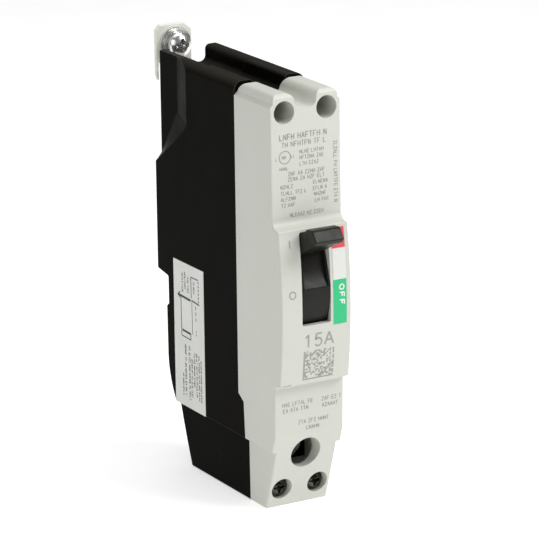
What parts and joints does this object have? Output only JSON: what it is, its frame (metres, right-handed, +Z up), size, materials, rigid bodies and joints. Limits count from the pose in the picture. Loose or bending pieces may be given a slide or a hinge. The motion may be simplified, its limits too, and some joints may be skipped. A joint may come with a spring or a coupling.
{
  "type": "gfci breaker",
  "caption": "Single-pole bolt-on moulded-case breaker with a toggle handle, a rear screw terminal and a wire lug at the load end.",
  "frame": {"origin": "centre of the full-width flat pad on the back of the base, on the plane of that pad", "axes": "+X across the pole to the right seen from the front, +Y out of the back, +Z up to the line terminal; the front faces -Y"},
  "size_m": [0.0255, 0.1068, 0.1437],
  "materials": {
    "black_moulding": "satin black thermoset moulding",
    "grey_moulding": "light warm grey moulding with a fine texture",
    "handle_moulding": "dark charcoal moulding",
    "label_print": "printed strip, red and green ends",
    "side_label_stock": "matt printed label",
    "dark_screw_steel": "dark zinc",
    "plated_copper": "tin plate over copper",
    "plated_steel": "bright zinc plate",
    "contact_silver": "silver alloy",
    "copper": "bare copper",
    "trip_moulding": "dark red thermoset",
    "steel": "zinc-plated sheet steel",
    "fibre": "vulcanised fibre",
    "spring_steel": "bright wire",
    "bimetal_alloy": "rolled bimetal strip",
    "brass_screw": "turned brass",
    "lug_aluminium": "tin-plated aluminium"
  },
  "bodies": {
    "case": {"arc_chute_side_left": "fibre", "arc_chute_side_right": "fibre", "arc_plates": "steel", "arm_pivot_pin": "steel", "armature_spring": "spring_steel", "base_housing": "black_moulding", "bimetal": "bimetal_alloy", "calibration_screw": "brass_screw", "cover_screws": "dark_screw_steel", "cradle_pin": "steel", "flexible_braid": "copper", "front_cover": "grey_moulding", "handle_pin": "steel", "line_terminal_strap": "plated_copper", "load_lug": "lug_aluminium", "load_terminal": "plated_copper", "magnet_yoke": "steel", "mechanism_frame_left": "steel", "mechanism_frame_right": "steel", "position_label": "label_print", "side_label": "side_label_stock", "stationary_contact_tip": "contact_silver", "trip_bar_spring": "spring_steel", "vent_baffle": "fibre"},
    "handle": {"handle": "handle_moulding", "handle_yoke": "steel", "spring_anchor_pin": "steel", "mechanism_springs": "spring_steel"},
    "contact_arm": {"moving_contact_arm": "copper", "moving_contact_tip": "contact_silver", "contact_carrier": "trip_moulding", "arm_link_pin": "steel"},
    "upper_link_pair": {"upper_links": "steel", "cradle_link_pins": "steel", "toggle_pin": "steel"},
    "lower_link_pair": {"lower_links": "steel"},
    "cradle_lever": {"cradle": "steel"},
    "trip_bar": {"trip_bar": "trip_moulding"},
    "armature": {"armature": "steel"},
    "lug_pad": {"lug_pad": "plated_steel"},
    "lug_screw": {"lug_screw": "plated_steel"},
    "line_washers": {"line_flat_washer": "plated_steel", "line_lock_washer": "plated_steel"},
    "line_screw": {"line_screw": "plated_steel"}
  },
  "joints": [
    {"name": "handle_toggle", "type": "hinge", "parent": "case", "child": "handle", "pos_m": [0, -0.0578, -0.00355], "axis": [1, 0, 0], "range_deg": [0, 53], "deforming": ["mechanism_springs", "flexible_braid"]},
    {"name": "contact_arm_swing", "type": "hinge", "parent": "case", "child": "contact_arm", "pos_m": [0, -0.03, -0.01835], "axis": [1, 0, 0], "range_deg": [0, 14.2]},
    {"name": "upper_link_swing", "type": "hinge", "parent": "case", "child": "upper_link_pair", "pos_m": [0, -0.044, -0.00335], "axis": [1, 0, 0], "range_deg": [0, 46.8]},
    {"name": "lower_link_swing", "type": "hinge", "parent": "upper_link_pair", "child": "lower_link_pair", "pos_m": [0, -0.0348, -0.0044], "axis": [1, 0, 0], "range_deg": [-88.6, 0]},
    {"name": "cradle_overtravel", "type": "hinge", "parent": "case", "child": "cradle_lever", "pos_m": [0, -0.047, 0.01265], "axis": [1, 0, 0], "range_deg": [0, 3], "stiffness_Nm_per_rad": 0.05, "springref_deg": -2.86},
    {"name": "trip_bar_turn", "type": "hinge", "parent": "case", "child": "trip_bar", "pos_m": [0, -0.046, -0.02835], "axis": [-1, 0, 0], "range_deg": [0, 8], "stiffness_Nm_per_rad": 0.02, "springref_deg": -5.73, "deforming": ["trip_bar_spring"]},
    {"name": "armature_pull", "type": "hinge", "parent": "case", "child": "armature", "pos_m": [0, -0.042, -0.04535], "axis": [1, 0, 0], "range_deg": [0, 4], "stiffness_Nm_per_rad": 0.01, "springref_deg": -5.73, "deforming": ["armature_spring"]},
    {"name": "lug_pad_travel", "type": "slide", "parent": "case", "child": "lug_pad", "axis": [0, 1, 0], "range_m": [0, 0.0045]},
    {"name": "lug_screw_turn", "type": "hinge", "parent": "lug_pad", "child": "lug_screw", "pos_m": [0, -0.06, -0.06335], "axis": [0, 1, 0], "range_deg": [0, 2042.3]},
    {"name": "line_washer_travel", "type": "slide", "parent": "case", "child": "line_washers", "axis": [0, -1, 0], "range_m": [0, 0.006]},
    {"name": "line_screw_turn", "type": "hinge", "parent": "line_washers", "child": "line_screw", "pos_m": [0, 0.008, 0.05495], "axis": [0, -1, 0], "range_deg": [0, 2722.4]}
  ],
  "couplings": [
    {"joint": "contact_arm_swing", "follows": "handle_toggle", "ratio": 0.26415},
    {"joint": "upper_link_swing", "follows": "handle_toggle", "ratio": 0.88011},
    {"joint": "lower_link_swing", "follows": "handle_toggle", "ratio": -1.6689},
    {"joint": "lug_screw_turn", "follows": "lug_pad_travel", "rad_per_m": 7913.3},
    {"joint": "line_screw_turn", "follows": "line_washer_travel", "rad_per_m": 7913.3}
  ]
}
